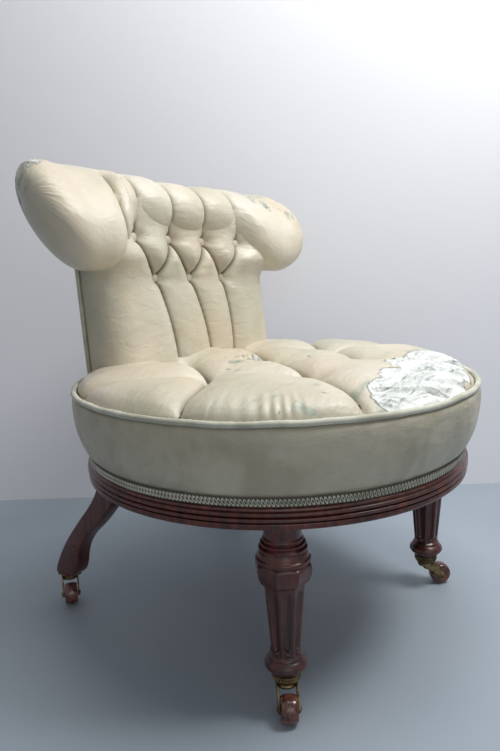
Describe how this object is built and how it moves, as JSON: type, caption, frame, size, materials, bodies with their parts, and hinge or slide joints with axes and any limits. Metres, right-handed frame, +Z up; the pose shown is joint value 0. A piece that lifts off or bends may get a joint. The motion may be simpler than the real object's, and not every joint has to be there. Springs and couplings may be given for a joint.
{
  "type": "nursing chair",
  "caption": "Low Victorian nursing chair: round deep-buttoned seat on a moulded rail, buttoned back with a scrolled top, turned front legs, sabre back legs, castors.",
  "frame": {"origin": "middle of the footprint, on the floor under the castor wheels", "axes": "+Z up; +X to the sitter's left as the chair faces -Y; +Y towards the back"},
  "size_m": [0.631, 0.6482, 0.7203],
  "materials": {
    "silk": "worn sage and champagne silk satin",
    "border": "the same silk, plain and soiled",
    "trim": "pale green cord and braid",
    "mahogany": "dark red-brown French polish, worn on the edges",
    "beech": "raw frame wood",
    "brass": "dull old brass",
    "wheel": "dark brown glazed castor wheel",
    "steel": "bare spring wire",
    "jute": "jute webbing and hessian",
    "cloth": "black bottoming cloth"
  },
  "bodies": {
    "chair": {"seat_rail": "mahogany", "seat_webbing": "jute", "bottoming_cloth": "cloth", "seat_spring_1": "steel", "seat_spring_2": "steel", "seat_spring_3": "steel", "seat_spring_4": "steel", "seat_spring_5": "steel", "seat_hessian": "jute", "seat_cushion": "silk", "seat_border": "border", "seat_piping": "trim", "seat_gimp": "trim", "seat_button_1": "silk", "seat_button_2": "silk", "seat_button_3": "silk", "seat_button_4": "silk", "seat_button_5": "silk", "seat_button_6": "silk", "seat_button_7": "silk", "back_upright_left": "beech", "back_upright_right": "beech", "back_welt_left": "trim", "back_welt_right": "trim", "front_leg_left": "mahogany", "front_leg_right": "mahogany", "castor_cup_left": "brass", "castor_cup_right": "brass", "back_leg_left": "mahogany", "back_leg_right": "mahogany", "castor_plate_left": "brass", "castor_plate_right": "brass", "back_crest_rail": "beech", "back_stuffing_rail": "beech", "back_hessian": "jute", "back_pad": "silk", "back_roll": "silk", "outside_back": "border", "back_button_1": "silk", "back_button_2": "silk", "back_button_3": "silk", "back_button_4": "silk", "back_button_5": "silk", "back_button_6": "silk", "back_button_7": "silk"},
    "fork_front_left": {"castor_fork_front_left": "brass", "castor_axle_front_left": "brass"},
    "wheel_front_left": {"castor_wheel_front_left": "wheel"},
    "fork_front_right": {"castor_fork_front_right": "brass", "castor_axle_front_right": "brass"},
    "wheel_front_right": {"castor_wheel_front_right": "wheel"},
    "fork_back_left": {"castor_fork_back_left": "brass", "castor_axle_back_left": "brass"},
    "wheel_back_left": {"castor_wheel_back_left": "wheel"},
    "fork_back_right": {"castor_fork_back_right": "brass", "castor_axle_back_right": "brass"},
    "wheel_back_right": {"castor_wheel_back_right": "wheel"}
  },
  "joints": [
    {"name": "swivel_front_left", "type": "hinge", "parent": "chair", "child": "fork_front_left", "pos_m": [-0.20691, -0.17817, 0.042], "axis": [0, 0, 1], "continuous": true},
    {"name": "roll_front_left", "type": "hinge", "parent": "fork_front_left", "child": "wheel_front_left", "pos_m": [-0.2258, -0.19603, 0.018], "axis": [0.6871, -0.7266, 0], "continuous": true},
    {"name": "swivel_front_right", "type": "hinge", "parent": "chair", "child": "fork_front_right", "pos_m": [0.20691, -0.17817, 0.042], "axis": [0, 0, 1], "continuous": true},
    {"name": "roll_front_right", "type": "hinge", "parent": "fork_front_right", "child": "wheel_front_right", "pos_m": [0.2258, -0.19603, 0.018], "axis": [0.6871, 0.7266, 0], "continuous": true},
    {"name": "swivel_back_left", "type": "hinge", "parent": "chair", "child": "fork_back_left", "pos_m": [-0.20427, 0.30358, 0.042], "axis": [0, 0, 1], "continuous": true},
    {"name": "roll_back_left", "type": "hinge", "parent": "fork_back_left", "child": "wheel_back_left", "pos_m": [-0.21843, 0.28178, 0.018], "axis": [0.8387, -0.5446, 0], "continuous": true},
    {"name": "swivel_back_right", "type": "hinge", "parent": "chair", "child": "fork_back_right", "pos_m": [0.20427, 0.30358, 0.042], "axis": [0, 0, 1], "continuous": true},
    {"name": "roll_back_right", "type": "hinge", "parent": "fork_back_right", "child": "wheel_back_right", "pos_m": [0.21843, 0.28178, 0.018], "axis": [0.8387, 0.5446, 0], "continuous": true}
  ]
}
